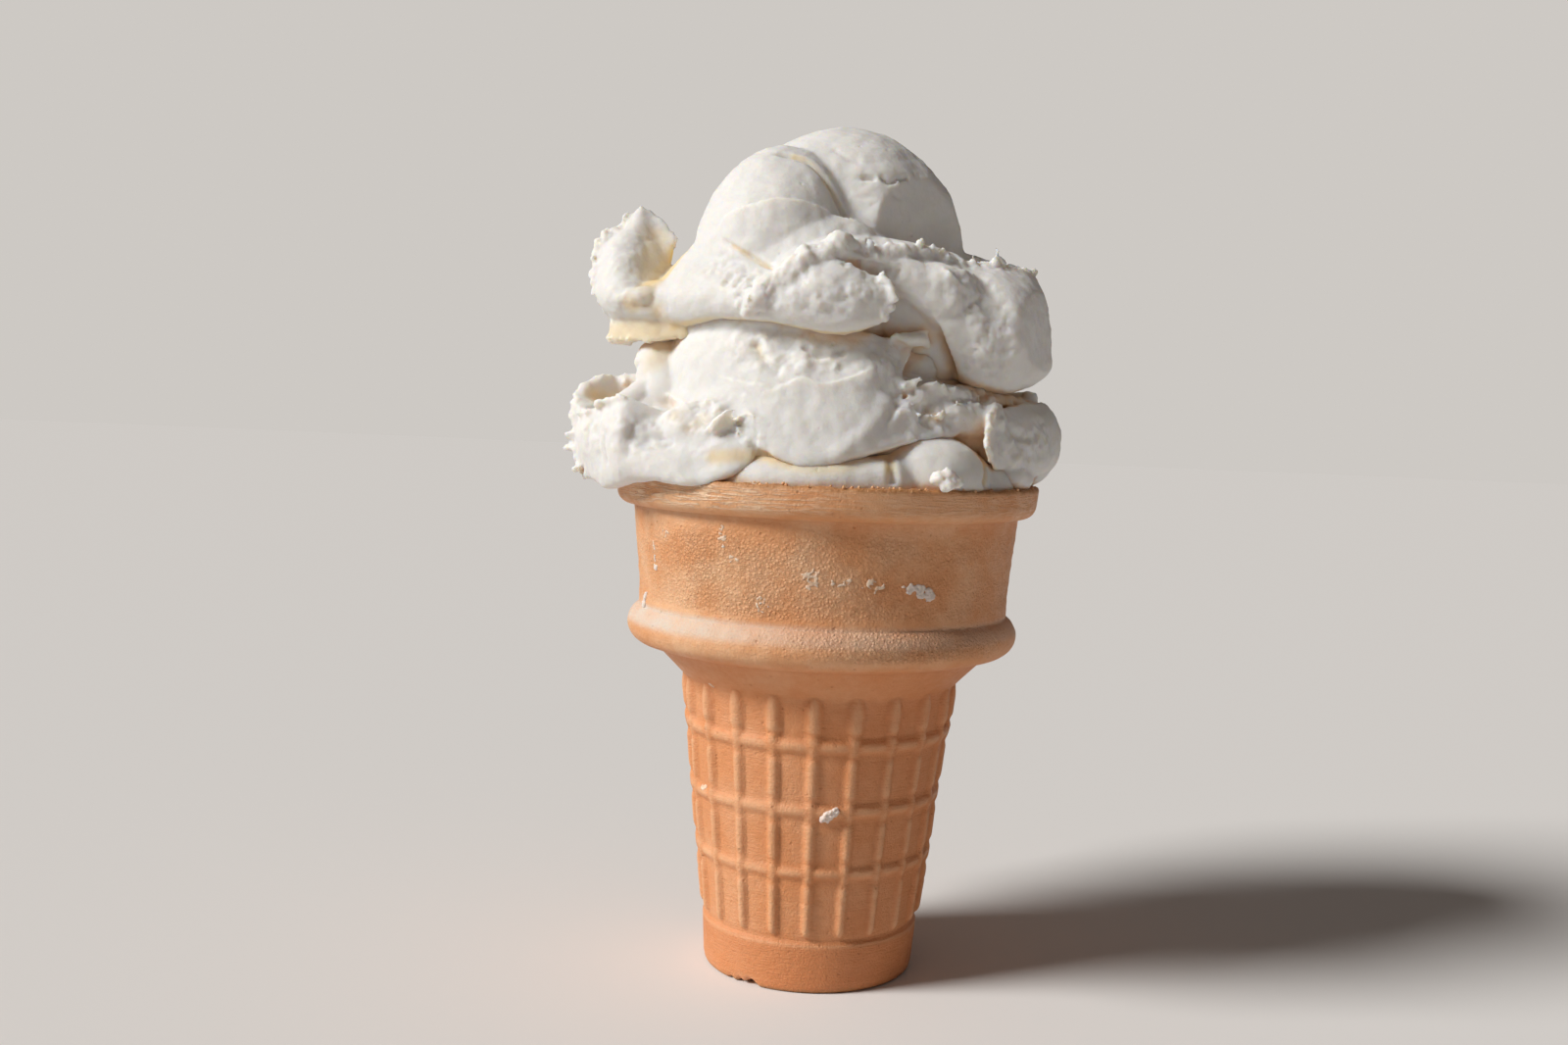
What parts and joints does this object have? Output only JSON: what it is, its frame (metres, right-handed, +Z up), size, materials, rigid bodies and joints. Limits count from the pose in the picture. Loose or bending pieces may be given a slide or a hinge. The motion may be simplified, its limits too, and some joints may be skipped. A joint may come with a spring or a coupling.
{
  "type": "ice cream cone",
  "caption": "Two scoops of vanilla ice cream with torn skirts, in a flat-bottomed moulded wafer cup with a ribbed foot, a bead and a flared rim.",
  "frame": {"origin": "centre of the cup's flat base, which the part stands on", "axes": "+Z up along the cup's axis; -Y is the front of the scoops, +X the side with the heavy lump of the upper skirt"},
  "size_m": [0.0766, 0.0668, 0.1331],
  "materials": {
    "wafer": "baked wafer: matt, finely pitted, orange-tan with a browned rim",
    "filling_ice_cream": "smooth pressed vanilla ice cream, soft sheen",
    "lower_ice_cream": "vanilla ice cream: smooth faces, torn and crumbly edges",
    "upper_ice_cream": "vanilla ice cream: smooth faces, torn and crumbly edges"
  },
  "bodies": {
    "root": {"wafer_cup": "wafer", "cup_filling": "filling_ice_cream", "lower_scoop": "lower_ice_cream", "upper_scoop": "upper_ice_cream"}
  },
  "joints": []
}
